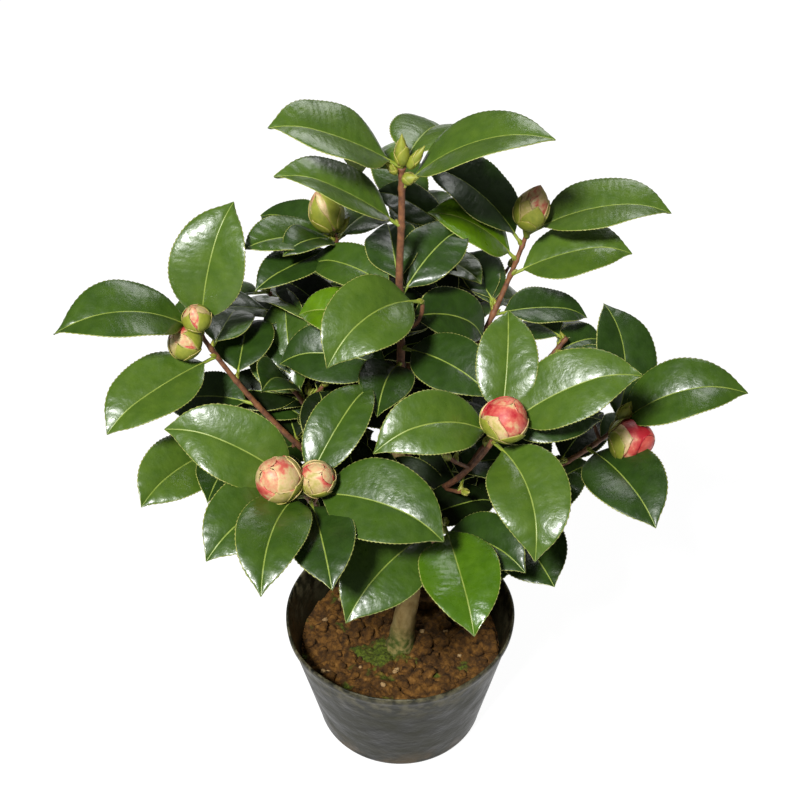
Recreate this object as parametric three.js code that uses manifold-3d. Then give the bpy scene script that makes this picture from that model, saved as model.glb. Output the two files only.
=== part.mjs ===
// A young camellia shrub in a round nursery pot. Millimetres, +Z up.
// The origin is the centre of the pot's flat underside.
import * as THREE from "three";
import { mergeVertices } from "three/addons/utils/BufferGeometryUtils.js";
import Module from "manifold-3d";

const wasm = await Module();
wasm.setup();

// ---------------------------------------------------------------- driving dimensions

const GAP = 0.3; // between pieces that touch on the real plant
const SLIVER = 0.25; // facets narrower than this are merged into their neighbours

const POT = {
  rimRadius: 80, // outside, at the rim
  baseRadius: 60, // outside, where the rounded foot begins
  height: 102,
  wall: 1.6,
  lipDrop: 6, // how far the flared lip reaches down
  lipFlare: 1.4, // how far it stands out
  footRounding: 7,
  sides: 32,
};

const SOIL_BELOW_RIM = 34;
const SOIL_TOP = POT.height - SOIL_BELOW_RIM;

const TRUNK = {
  path: [
    [0, -4, SOIL_TOP + GAP],
    [3, -3, 96],
    [7, -2, 128],
    [2, 0, 190],
    [-1, 0, 245],
    [0, 0, 302],
  ],
  footRadius: 9,
  forkRadius: 3.3,
  flare: 2.6, // extra radius where the roots spread
  flareLength: 9,
};

const BOUGH = { radius: 2.4, tipRadius: 1.4 };
const LEADER = { radius: 2.7, tipRadius: 1.8 };
const FORK = { run: 0.6, rise: 0.32 }; // how a bough bends, as shares of its reach and rise

const MASS = {
  depth: 9, // from a shoot's tip back to the middle of its mass
  coreAcross: 34, // radius of a mass between its leaves
  coreHigh: 20,
  lobeAngle: 30, // degrees from a leaf's line to the edge of its lobe
  lobePower: 3, // how squarely a lobe falls away at its edge
  lobeFlatness: 1.5, // how much thinner a lobe is than it is wide
  margin: 0.7, // clearance that neighbours are cut back by
  detail: 3,
};

// Each shoot: the height where its bough forks off the trunk, its tip, how far its leaves reach
// from that tip, and the bearings of their tips, as [azimuth from +X towards +Y, elevation], with
// a leaf's own reach where it differs.
const SHOOTS = {
  top: {
    tip: [1, 0, 459],
    reach: 80,
    bearings: [[196, 26], [191, 2, 70], [350, 18, 85], [68, -12, 74], [115, -32, 68]],
  },
  left: {
    fork: 196,
    tip: [-119, 0, 347],
    reach: 82,
    bearings: [[59, 58], [202, 15, 86], [228, -23], [75, -25, 65]],
  },
  left_back: {
    fork: 252,
    tip: [-41, 60, 380],
    reach: 65,
    bearings: [[218, 11], [226, -11], [59, -21], [147, -10, 57], [98, -22]],
  },
  left_low: {
    fork: 172,
    tip: [-110, -6, 260],
    reach: 67,
    bearings: [[232, 3, 72], [265, 7, 57], [126, -20, 60], [101, -19]],
  },
  inner_left: {
    fork: 230,
    tip: [-66, 8, 296],
    reach: 69,
    bearings: [[96, 32], [251, 37, 56], [131, 11, 46]],
  },
  front_left: {
    fork: 178,
    tip: [-55, -95, 309],
    reach: 80,
    bearings: [
      [171, 25, 83],
      [57, 20, 76],
      [339, -7, 85],
      [257, -3],
      [227, -2, 71],
      [287, -11, 68],
    ],
  },
  front_low: {
    fork: 166,
    tip: [26, -73, 260],
    reach: 83,
    bearings: [[281, -7], [227, -12], [320, -1, 60]],
  },
  front_right: {
    fork: 212,
    tip: [56, -70, 331],
    reach: 78,
    bearings: [[84, 39, 70], [4, 24, 85], [201, 5], [284, -27], [13, -4, 61]],
  },
  right: {
    fork: 186,
    tip: [132, -5, 273],
    reach: 85,
    bearings: [[359, 22], [92, 37], [285, -9, 76], [52, -34, 49]],
  },
  right_low: {
    fork: 160,
    tip: [68, -29, 218],
    reach: 65,
    bearings: [[292, 5], [32, 16, 68], [255, 1, 59], [48, -18]],
  },
  right_mid: {
    fork: 224,
    tip: [106, 46, 308],
    reach: 62,
    bearings: [[122, -21, 51], [36, -30, 40], [323, -29], [85, -31]],
  },
  right_back: {
    fork: 240,
    tip: [77, 55, 380],
    reach: 87,
    bearings: [
      [355, 13],
      [351, -7, 65],
      [184, 16, 64],
      [157, 25, 74],
      [4, -57, 78],
      [134, -38, 70],
    ],
  },
  back_high: {
    fork: 262,
    tip: [14, 92, 362],
    reach: 64,
    bearings: [[120, 24], [257, 7], [35, -20], [173, -47], [310, -14], [87, -11]],
  },
  back_left: {
    fork: 206,
    tip: [-86, 90, 312],
    reach: 74,
    bearings: [[160, -36], [298, 17], [75, -40], [213, 3], [350, -4], [128, -41]],
  },
  back_right: {
    fork: 204,
    tip: [62, 122, 304],
    reach: 74,
    bearings: [[200, 4], [115, -50], [253, 3], [30, -54], [168, -11]],
  },
  back_mid: {
    fork: 192,
    tip: [-24, 132, 278],
    reach: 72,
    bearings: [[240, 24], [17, 17], [155, 0], [292, 3], [70, -14], [207, -11]],
  },
  back_low: {
    fork: 164,
    tip: [26, 84, 222],
    reach: 68,
    bearings: [[280, 24], [57, 17], [195, 10], [332, 3], [110, -4], [247, -11]],
  },
};

// The leaves round the leader's foot, borne by the trunk and leader themselves.
const CENTRE = {
  tip: [0, 0, 348],
  reach: 72,
  bearings: [
    [49, 33],
    [145, 16],
    [97, 31],
    [24, -25, 63],
    [170, -25, 84],
    [257, -17, 62],
    [319, -10],
    [161, -4, 66],
    [238, 17, 80],
  ],
};

// ---------------------------------------------------------------- materials

const paint = (color, roughness) =>
  new THREE.MeshStandardMaterial({ color, roughness, metalness: 0 });

const MATERIALS = {
  pot: paint(0x3c3e39, 0.55),
  soil: paint(0x5a3a20, 0.95),
  bark: paint(0x8b7650, 0.8),
  twig: paint(0x70432a, 0.7),
  leaf: paint(0x355f1f, 0.4),
};

// ---------------------------------------------------------------- solids

// A three.js geometry as a manifold solid.
function solidOf(geometry) {
  const bare = geometry.clone();
  bare.deleteAttribute("normal");
  bare.deleteAttribute("uv");
  const merged = mergeVertices(bare, 1e-4);
  return new wasm.Manifold(
    new wasm.Mesh({
      numProp: 3,
      vertProperties: new Float32Array(merged.attributes.position.array),
      triVerts: new Uint32Array(merged.index.array),
    }),
  );
}

// The named mesh of a manifold solid: its largest body, with slivers merged.
function meshOf(name, solid, material) {
  const [body] = solid.decompose().sort((a, b) => b.volume() - a.volume());
  const { numProp, vertProperties, triVerts } = body.simplify(SLIVER).getMesh();
  const positions = [];
  for (let i = 0; i < vertProperties.length; i += numProp) {
    positions.push(...vertProperties.subarray(i, i + 3));
  }
  const geometry = new THREE.BufferGeometry();
  geometry.setAttribute("position", new THREE.Float32BufferAttribute(positions, 3));
  geometry.setIndex(Array.from(triVerts));
  geometry.computeVertexNormals();
  const mesh = new THREE.Mesh(geometry, material);
  mesh.name = name;
  return mesh;
}

const subtractAll = (solid, cutters) => cutters.reduce((left, cutter) => left.subtract(cutter), solid);

const radians = THREE.MathUtils.degToRad;

// The unit vector at an azimuth (from +X towards +Y) and an elevation.
function heading(azimuth, elevation) {
  const level = Math.cos(radians(elevation));
  return new THREE.Vector3(
    level * Math.cos(radians(azimuth)),
    level * Math.sin(radians(azimuth)),
    Math.sin(radians(elevation)),
  );
}

// ---------------------------------------------------------------- pot and soil

// A lathe turned about +Z. Its profile is [radius, height] points, going up on the outside.
function turned(profile) {
  const points = profile.map(([radius, height]) => new THREE.Vector2(radius, height));
  return new THREE.LatheGeometry(points, POT.sides).rotateX(Math.PI / 2);
}

// The pot's outside radius at a height on its straight side.
function potRadius(height) {
  const share = (height - POT.footRounding) / (POT.height - POT.lipDrop - POT.footRounding);
  return POT.baseRadius + (POT.rimRadius - POT.lipFlare - POT.baseRadius) * share;
}

function makePot() {
  const { baseRadius, height, wall, lipDrop, lipFlare, footRounding, rimRadius } = POT;
  const footSteps = 2;
  const foot = [];
  for (let i = 0; i <= footSteps; i++) {
    const angle = (i / footSteps) * (Math.PI / 2);
    foot.push([
      baseRadius - footRounding * (1 - Math.sin(angle)),
      footRounding * (1 - Math.cos(angle)),
    ]);
  }
  const outside = [[0, 0], ...foot, [potRadius(height - lipDrop), height - lipDrop]];
  const lip = [
    [rimRadius, height - lipDrop + lipFlare],
    [rimRadius, height],
    [rimRadius - wall, height],
  ];
  const inside = [
    [potRadius(height - lipDrop) - wall, height - lipDrop],
    [baseRadius - wall, footRounding],
    [baseRadius - footRounding, wall],
    [0, wall],
  ];
  return turned([...outside, ...lip, ...inside]);
}

function makeSoil() {
  const { baseRadius, wall, footRounding } = POT;
  const inside = (height) => potRadius(height) - wall - 2 * GAP;
  return turned([
    [0, wall + GAP],
    [baseRadius - footRounding - GAP, wall + GAP],
    [baseRadius - wall - 2 * GAP, footRounding + GAP],
    [inside(SOIL_TOP), SOIL_TOP],
    [0, SOIL_TOP],
  ]);
}

// ---------------------------------------------------------------- trunk and boughs

// A round limb along a curve: a cylinder bent to it, with its own radius at each share of its length.
function limb(curve, radiusAt, steps, sides, extra = 0) {
  const geometry = new THREE.CylinderGeometry(1, 1, 1, sides, steps);
  const frames = curve.computeFrenetFrames(steps);
  const places = geometry.attributes.position;
  for (let i = 0; i < places.count; i++) {
    const share = places.getY(i) + 0.5;
    const ring = Math.round(share * steps);
    const radius = radiusAt(share) + extra;
    const place = curve
      .getPointAt(share)
      .addScaledVector(frames.normals[ring], places.getX(i) * radius)
      .addScaledVector(frames.binormals[ring], -places.getZ(i) * radius);
    places.setXYZ(i, place.x, place.y, place.z);
  }
  return geometry;
}

const trunkCurve = new THREE.CatmullRomCurve3(TRUNK.path.map((p) => new THREE.Vector3(...p)));

function trunkRadius(share) {
  const along = share * trunkCurve.getLength();
  const taper = TRUNK.footRadius + (TRUNK.forkRadius - TRUNK.footRadius) * share ** 0.7;
  return taper + TRUNK.flare * Math.exp(-along / TRUNK.flareLength);
}

// The trunk, its foot cut level with the soil.
function makeTrunk(extra = 0) {
  const steps = 13;
  const sides = 9;
  const geometry = limb(trunkCurve, trunkRadius, steps, sides, extra);
  const places = geometry.attributes.position;
  const footZ = TRUNK.path[0][2];
  const ringRise = trunkCurve.getLength() / steps / 2;
  for (let i = 0; i < places.count; i++) {
    if (places.getZ(i) < footZ + ringRise) places.setZ(i, footZ - extra);
  }
  return geometry;
}

// The point on the trunk's centre line at a height.
function trunkAt(height) {
  const steps = 200;
  for (let i = 0; i <= steps; i++) {
    const place = trunkCurve.getPointAt(i / steps);
    if (place.z >= height) return place;
  }
  return trunkCurve.getPointAt(1);
}

// A bough leaves the trunk flat and turns up to its shoot's tip. The leader goes straight on.
function boughCurve(shoot) {
  const tip = new THREE.Vector3(...shoot.tip);
  if (!shoot.fork) {
    const seat = trunkCurve.getPointAt(1).add(new THREE.Vector3(0, 0, GAP));
    return new THREE.LineCurve3(seat, tip);
  }
  const fork = trunkAt(shoot.fork);
  const bend = new THREE.Vector3(
    THREE.MathUtils.lerp(fork.x, tip.x, FORK.run),
    THREE.MathUtils.lerp(fork.y, tip.y, FORK.run),
    THREE.MathUtils.lerp(fork.z, tip.z, FORK.rise),
  );
  return new THREE.QuadraticBezierCurve3(fork, bend, tip);
}

// How a bough's or the leader's radius tapers.
const taperOf = ({ radius, tipRadius }) => (share) => THREE.MathUtils.lerp(radius, tipRadius, share);

// ---------------------------------------------------------------- masses of foliage

// Where each leaf of a shoot ends.
function leafTips({ tip, reach, bearings }) {
  return bearings.map(([azimuth, elevation, own = reach]) =>
    new THREE.Vector3(...tip).addScaledVector(heading(azimuth, elevation), own),
  );
}

// A mass: a flattened ball about its centre, drawn out in a lobe to each leaf's tip.
function makeMass(centre, tips, extra = 0) {
  const reaches = tips.map((tip) => tip.clone().sub(centre));
  const steepened = (way) => way.clone().multiply(new THREE.Vector3(1, 1, MASS.lobeFlatness));
  const geometry = new THREE.IcosahedronGeometry(1, MASS.detail);
  const merged = mergeVertices(geometry.deleteAttribute("uv").deleteAttribute("normal"), 1e-4);
  const places = merged.attributes.position;
  const directions = [];
  for (let i = 0; i < places.count; i++) {
    const way = new THREE.Vector3().fromBufferAttribute(places, i).normalize();
    const level = Math.hypot(way.x, way.y) / MASS.coreAcross;
    let radius = 1 / Math.hypot(level, way.z / MASS.coreHigh);
    for (const reach of reaches) {
      const angle = steepened(way).angleTo(steepened(reach));
      const off = THREE.MathUtils.radToDeg(angle) / MASS.lobeAngle;
      radius = Math.max(radius, reach.length() * Math.exp(-(off ** MASS.lobePower)));
    }
    directions.push(way);
    const place = way.clone().multiplyScalar(radius + extra);
    places.setXYZ(i, place.x, place.y, place.z);
  }
  for (const reach of reaches) {
    const offs = directions.map((way) => way.angleTo(reach));
    const nearest = offs.indexOf(Math.min(...offs));
    const place = reach.clone().setLength(reach.length() + extra);
    places.setXYZ(nearest, place.x, place.y, place.z);
  }
  return merged.translate(centre.x, centre.y, centre.z);
}

// ---------------------------------------------------------------- assembly

const shrub = new THREE.Group();

function add(name, geometry, material) {
  const mesh = new THREE.Mesh(geometry, material);
  mesh.name = name;
  shrub.add(mesh);
}

add("pot", makePot(), MATERIALS.pot);
add("soil", makeSoil(), MATERIALS.soil);
add("trunk", makeTrunk(), MATERIALS.bark);
const trunkCutter = solidOf(makeTrunk(GAP));

// Each shoot's curve, and the centre and leaf tips of its mass.
const growth = Object.entries(SHOOTS).map(([name, shoot]) => {
  const curve = boughCurve(shoot);
  const centre = curve.getPointAt(1 - MASS.depth / curve.getLength());
  return { name, curve, centre, tips: leafTips(shoot) };
});

// The boughs, each from the trunk's side to where it enters its own mass.
const boughCutters = [trunkCutter];
for (const { name, curve, centre, tips } of growth) {
  const steps = 5;
  const sides = 6;
  const ends = [solidOf(makeMass(centre, tips, GAP)), trunkCutter];
  const [called, taper] = name === "top" ? ["leader", LEADER] : [`bough_${name}`, BOUGH];
  const whole = solidOf(limb(curve, taperOf(taper), steps, sides));
  const bough = subtractAll(whole, ends);
  shrub.add(meshOf(called, bough, MATERIALS.twig));
  const wider = solidOf(limb(curve, taperOf(taper), steps, sides, GAP));
  boughCutters.push(subtractAll(wider, [ends[0]]));
}

// The masses. Each is cut round the limbs and round the masses before it.
const masses = [
  ...growth,
  { name: "centre", centre: new THREE.Vector3(...CENTRE.tip), tips: leafTips(CENTRE) },
];
const massCutters = [];
for (const { name, centre, tips } of masses) {
  const mass = subtractAll(solidOf(makeMass(centre, tips)), [...boughCutters, ...massCutters]);
  shrub.add(meshOf(`foliage_${name}`, mass, MATERIALS.leaf));
  massCutters.push(solidOf(makeMass(centre, tips, MASS.margin)));
}

export default shrub;
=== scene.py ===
"""The looks of a young camellia shrub in a round nursery pot.

Lengths are millimetres until Shape.piece turns them into Blender's metres. A bearing is an
azimuth, from +X towards +Y, and an elevation, in degrees.
"""
import math
import random
from collections import namedtuple

import bpy
import numpy as np
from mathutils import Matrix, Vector, noise


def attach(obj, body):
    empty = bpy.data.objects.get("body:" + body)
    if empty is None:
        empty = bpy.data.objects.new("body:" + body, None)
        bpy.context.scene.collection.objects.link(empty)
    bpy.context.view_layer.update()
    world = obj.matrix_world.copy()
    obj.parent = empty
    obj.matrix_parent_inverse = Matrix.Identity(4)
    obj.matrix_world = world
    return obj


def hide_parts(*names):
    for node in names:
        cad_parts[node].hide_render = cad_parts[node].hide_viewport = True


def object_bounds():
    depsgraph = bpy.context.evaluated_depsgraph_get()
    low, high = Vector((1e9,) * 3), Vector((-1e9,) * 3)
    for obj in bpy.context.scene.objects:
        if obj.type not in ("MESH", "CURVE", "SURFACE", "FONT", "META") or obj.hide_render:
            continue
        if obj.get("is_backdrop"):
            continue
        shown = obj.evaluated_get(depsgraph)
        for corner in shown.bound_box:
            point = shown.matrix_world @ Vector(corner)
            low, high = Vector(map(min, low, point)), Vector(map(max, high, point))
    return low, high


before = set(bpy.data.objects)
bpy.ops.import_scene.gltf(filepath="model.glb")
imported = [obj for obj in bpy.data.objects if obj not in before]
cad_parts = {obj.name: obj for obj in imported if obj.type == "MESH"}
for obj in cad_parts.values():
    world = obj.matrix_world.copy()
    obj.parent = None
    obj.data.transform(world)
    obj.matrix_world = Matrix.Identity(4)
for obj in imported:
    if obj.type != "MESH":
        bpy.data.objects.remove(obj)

cad_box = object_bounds()

MM = 0.001
SEED = 15
UP = np.array((0.0, 0.0, 1.0))
ASKEW = (0.31, 0.95, 0.07)  # a way that no limb points along

# ---------------------------------------------------------------- driving dimensions

POT = dict(rim=80, base=60, height=102, wall=1.6, lip_drop=6, lip_flare=1.4, foot=7)
SOIL_TOP = 68

TRUNK_PATH = ((0, -4, 66), (3, -3, 96), (7, -2, 128), (2, 0, 190), (-1, 0, 245), (0, 0, 302))
TRUNK = dict(foot=9, fork=3.3, flare=2.6, flare_length=9)
BOUGH = dict(radius=2.4, tip=1.4, sides=14, fork_run=0.6, fork_rise=0.32)
LEADER = dict(radius=2.7, tip=1.8, sides=14)
TWIG = dict(radius=1.3, tip=1.0, sides=10)

# A leaf: how far back from its shoot's tip it sits, where its tip points, its reach from twig to
# tip, its roll about that line, its blade's width as a share of its length, its tint, and how far it
# arches up and sweeps aside, as shares of its reach.
Leaf = namedtuple(
    "Leaf", "back azimuth elevation reach roll width tint arch sweep", defaults=(0, 0.6, "", None, None)
)

# A shoot: where its bough forks off the trunk, its tip, how far its leaves' faces lean towards the
# light in front of the plant, in degrees, and its leaves.
Shoot = namedtuple("Shoot", "fork tip lean leaves")

SHOOTS = {
    "top": Shoot(None, (1, 0, 459), 6, (
        Leaf(0, 196, 26, 80, roll=-12, width=0.66, arch=0.05),
        Leaf(38, 191, 30, 80, arch=0.06),
        Leaf(13, 350, 25, 90, roll=-4, arch=0.12),
        Leaf(0, 68, -12, 74),
        # Painted light: the lime tint brightens this leaf, which lies in the shade of those above it.
        Leaf(5, 115, -28, 66, tint="lime_painted_light"),
    )),
    "left": Shoot(196, (-119, 0, 347), 22, (
        Leaf(3, 60, 59, 82, width=0.62),
        Leaf(0, 202, 15, 86, roll=3, width=0.59, arch=0.18),
        Leaf(20, 223, -10, 82, roll=3, width=0.6, arch=0.045),
        Leaf(14, 81, -14, 60),
        Leaf(64, 164, -15, 64, tint="deep"),
        Leaf(42, 86, 2, 58, width=0.74, tint="deep"),
    )),
    "left_back": Shoot(252, (-41, 60, 380), 18, (
        Leaf(4, 217, 14, 66, width=0.54, arch=0.04),
        Leaf(11, 223, -2, 64, width=0.5, tint="deep", arch=0.05),
        Leaf(7, 233, 17, 50, tint="deep"),
        Leaf(8, 61, -14, 60),
        Leaf(6, 146, -4, 58, tint="deep"),
        Leaf(14, 100, -10, 66, tint="deep"),
    )),
    "left_low": Shoot(172, (-110, -6, 260), 34, (
        Leaf(0, 232, 3, 72, width=0.64),
        Leaf(12, 258, 16, 60, tint="deep"),
        Leaf(4, 128, -17, 60, tint="deep"),
        Leaf(16, 110, -8, 66, tint="deep"),
    )),
    "inner_left": Shoot(230, (-66, 8, 296), 36, (
        Leaf(12, 102, 38, 76, roll=-35, width=0.56, sweep=-0.08),
        Leaf(0, 251, 37, 56, tint="deep"),
        Leaf(10, 135, 19, 52),
    )),
    "front_left": Shoot(178, (-55, -95, 309), 32, (
        Leaf(2, 172, 26, 84, roll=2, width=0.56, arch=0.12),
        Leaf(4, 57, 23, 76, width=0.48, arch=0.12),
        Leaf(7, 337, -3, 84, width=0.66, arch=0.1),
        Leaf(4, 257, 0, 80, width=0.54, arch=0.12, sweep=0.05),
        Leaf(9, 228, 4, 75, width=0.66, arch=0.12, tint="mid"),
        Leaf(17, 282, 2, 72, width=0.6, tint="deep"),
    )),
    "front_low": Shoot(166, (26, -73, 260), 34, (
        Leaf(0, 281, -7, 80, width=0.64, tint="bright"),
        Leaf(6, 229, -8, 86),
        Leaf(14, 317, 10, 66, tint="deep"),
    )),
    "front_right": Shoot(212, (56, -70, 331), 30, (
        Leaf(0, 84, 39, 70, width=0.56, tint="olive"),
        Leaf(2, 4, 25, 86, roll=-10, width=0.56, arch=0.08, tint="olive"),
        Leaf(7, 203, 10, 76, width=0.56, arch=0.18, tint="olive"),
        Leaf(13, 286, -18, 78, width=0.64, sweep=-0.08, tint="olive"),
        Leaf(6, 11, 1, 62, width=0.5, tint="deep"),
    )),
    "right": Shoot(186, (132, -5, 273), 20, (
        Leaf(0, 359, 22, 86, roll=-1, width=0.56, arch=0.18),
        Leaf(0, 92, 37, 84, roll=24, width=0.6, sweep=0.13, tint="deep"),
        Leaf(20, 294, 2, 80, width=0.66, tint="deep"),
        Leaf(14, 43, -20, 50, tint="deep"),
        Leaf(36, 195, -12, 46, width=0.7, tint="shade"),
    )),
    "right_low": Shoot(160, (68, -29, 218), 34, (
        Leaf(0, 292, 5, 66, width=0.78, tint="deep"),
        Leaf(4, 30, 18, 70, width=0.55, tint="deep"),
        Leaf(12, 262, 10, 62, tint="deep"),
        Leaf(16, 40, -6, 64, tint="deep"),
    )),
    "right_mid": Shoot(224, (106, 46, 308), 30, (
        Leaf(2, 120, -19, 50, width=0.74, tint="deep"),
        Leaf(16, 30, -6, 42, width=0.66, tint="deep"),
        Leaf(12, 330, -20, 62, tint="deep"),
        Leaf(8, 80, -25, 60, tint="deep"),
    )),
    "right_back": Shoot(240, (77, 55, 380), 8, (
        Leaf(0, 355, 13, 87, arch=0.09),
        Leaf(28, 357, 14, 75, roll=6, width=0.64, arch=0.08),
        # Painted light: the lime tint stands for light on this blade.
        Leaf(18, 180, 32, 65, roll=-8, width=0.7, tint="lime_painted_light"),
        Leaf(8, 155, 31, 76, width=0.68, tint="deep"),
        Leaf(56, 15, -13, 66, width=0.52, tint="deep", arch=0.05),
        Leaf(54, 106, 11, 54, tint="deep"),
        Leaf(50, 117, -1, 58, tint="deep"),
    )),
    "back_high": Shoot(262, (14, 92, 362), 0, ()),
    "back_left": Shoot(206, (-86, 90, 312), 0, ()),
    "back_right": Shoot(204, (62, 122, 304), 0, ()),
    "back_mid": Shoot(192, (-24, 132, 278), 0, ()),
    "back_low": Shoot(164, (26, 84, 222), 0, ()),
}
SHOOT_REACH = {"back_high": 64, "back_left": 74, "back_right": 74, "back_mid": 72, "back_low": 68}

# The leaves round the leader's foot, set back from its tip.
CENTRE_LEAN = 30
CENTRE_LEAVES = (
    Leaf(88, 49, 15, 64),
    Leaf(86, 145, -5, 68, width=0.5),
    Leaf(81, 97, 6, 60),
    Leaf(103, 24, -31, 66),
    Leaf(143, 170, -3, 76),
    Leaf(136, 257, 7, 60),
    Leaf(124, 318, 0, 70),
    # Painted light: the lime tint stands for light on this blade.
    Leaf(112, 161, -3, 66, tint="lime_painted_light"),
)

# A short spur on the leader, and the one large leaf that it bears.
SPUR = dict(foot=(1, 0, 350), tip=(13, -12, 378), sag=20)
SPUR_LEAVES = (Leaf(0, 225, -5, 75, roll=-6, width=0.66, tint="olive", arch=0.18),)

# Leaves in the shade, which close the gaps behind the outer boughs once the side twigs have grown. Their
# near-black tint is painted shade.
SHADE_LEAVES = {
    "right": (Leaf(45, 54, 5, 60, width=0.64, tint="shade"),),
    "left": (Leaf(105, 107, -3, 48, width=0.66, tint="shade"),),
    "front_left": (Leaf(30, 105, 0, 40, tint="shade"),),
}

# The plant is seen from this point. Side twigs bear no leaf that would cover, from there, the
# middle of a leaf listed above or the outer stretch of these boughs, or close one of the crown's
# openings. An opening is its middle, in the upright plane through the trunk, and its radius.
EYE = np.array((0.0, -663.0, 851.0))
SHOWN_BOUGHS = {
    "top": 0.15, "left": 0.35, "right_back": 0.5, "front_right": 0.45, "right": 0.7, "left_back": 0.8,
}
OPENINGS = (
    (53, 404, 5), (81, 383, 4), (94, 330, 4), (-83, 392, 5), (-74, 405, 4), (-13, 417, 4),
    (-117, 422, 7), (57, 448, 8),
)

# A bud: its shoot, its middle from that shoot's tip, the way it points, its radius and length, and
# for a flower bud how far up it its sepals reach as a share of its length, how red its petals are,
# how pointed it is, and the bearing about its own axis of its first petal.
Bud = namedtuple("Bud", "shoot middle way radius length sepals blush taper turn", defaults=(0, 0, 1, 0))
FLOWER_BUDS = (
    Bud("front_left", (-12, -8, 16), (-4, -3, 8), 12.9, 26, 0.3, 0.3, 0.6, 20),
    Bud("front_left", (10, -4, 13), (3, -3, 8), 9.9, 21, 0.44, 0.15, 0.7, 80),
    Bud("front_right", (2, -8, 16), (3, 1, 8), 13.0, 26, 0.3, 0.5, 0.6, 90),
    Bud("right", (11, -11, 3), (8, -3, 4), 13.8, 29, 0.34, 0.75, 0.58, 185),
    Bud("left", (0, -4, 14), (-1, -2, 8), 8.2, 18, 0.72, 0.3, 0.8, 200),
    Bud("left", (-8, -9, 0), (-4, -4, 8), 10.0, 21, 0.7, 0.15, 0.8, 240),
    Bud("left_back", (-4, -4, 16), (-3, 0, 8), 9.8, 29, 0.78, 0.25, 0.95, 300),
    Bud("right_back", (2, -4, 22), (2, 0, 8), 10.0, 31, 0.5, 0.24, 0.95, 330),
)
LEAF_BUDS = (
    Bud("top", (0, 0, 11), (0, 0, 1), 3.9, 20),
    Bud("top", (8, -1, 7), (5, 0, 8), 2.9, 17),
    Bud("top", (-6, -2, 1), (-6, -1, 7), 2.2, 11),
    Bud("top", (5, -3, -5), (5, -2, 2), 3.2, 11),
    Bud("right", (7, 0, 17), (3, 0, 9), 4.3, 17),
    Bud("left_back", (7, -2, 5), (5, -1, 8), 2.4, 15),
)

# The radius and length of a leaf bud at the tip of a bough or twig, and at the foot of a leaf.
BUD_SIZES = {"bough": (2.3, 11), "twig": (2.2, 10), "leaf": (1.5, 6.5)}

# Rows and columns of the scales of a large and of a small leaf bud.
FINE_GRAIN, COARSE_GRAIN = (10, 8), (5, 4)

# Shoots whose tips bear no bud but those listed.
BUDLESS = ("top", "right_mid")

# Leaves in a spiral: one turn of it apart, the lower ones flatter and further down the shoot. A
# leaf droops by the first of these angles that leaves the crown's openings open.
SPIRAL = dict(leaves=6, turn=137.5, start=40, elevation=24, fall=7, spacing=5, lean=8)
DROOPS = range(0, 70, 10)

# Side twigs, which fill the plant's inside: where they leave a bough, as shares of its length, and
# the room their leaves have, from the plant's axis, behind its front and between two heights.
SIDE = dict(first=0.4, last=0.9, twigs=5, length=30, rise=24, leaves=3, spacing=4, reach=64)
ROOM = dict(away=125, front=-40, low=225, high=395)

# ---------------------------------------------------------------- lines


def unit(vector):
    return vector / np.linalg.norm(vector)


def heading(azimuth, elevation):
    a, e = math.radians(azimuth), math.radians(elevation)
    return np.array((math.cos(e) * math.cos(a), math.cos(e) * math.sin(a), math.sin(e)))


def smooth(places, values, at):
    """A smooth curve through the values at those places, read at each of `at`."""
    places, values = np.asarray(places, float), np.asarray(values, float)
    slopes = np.gradient(values, places)
    i = np.clip(np.searchsorted(places, at) - 1, 0, len(places) - 2)
    step = places[i + 1] - places[i]
    s = (at - places[i]) / step
    return (
        values[i] * (1 + 2 * s) * (1 - s) ** 2
        + values[i + 1] * s**2 * (3 - 2 * s)
        + slopes[i] * step * s * (1 - s) ** 2
        - slopes[i + 1] * step * s**2 * (1 - s)
    )


class Line:
    """A smooth line through space, with places on it found by their distance along it."""

    def __init__(self, points):
        self.points = np.asarray(points, float)
        steps = np.linalg.norm(np.diff(self.points, axis=0), axis=1)
        self.run = np.concatenate(([0.0], np.cumsum(steps)))
        self.length = self.run[-1]

    def at(self, run):
        return np.stack([np.interp(run, self.run, self.points[:, k]) for k in range(3)], -1)

    def heading(self, run):
        low, high = max(run - 1, 0), min(run + 1, self.length)
        return unit(self.at(high) - self.at(low))


def through(points, samples=160):
    points = np.asarray(points, float)
    places = np.arange(len(points))
    at = np.linspace(0, len(points) - 1, samples)
    return Line(np.stack([smooth(places, points[:, k], at) for k in range(3)], -1))


def bend(start, middle, end, samples=60):
    s = np.linspace(0, 1, samples)[:, None]
    return Line(start * (1 - s) ** 2 + 2 * middle * s * (1 - s) + end * s**2)


def bump(x, y, z, size):
    """Smooth noise from -1 to 1, with features of about that size."""
    return noise.noise(Vector((x / size, y / size, z / size)))


# ---------------------------------------------------------------- shapes


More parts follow.
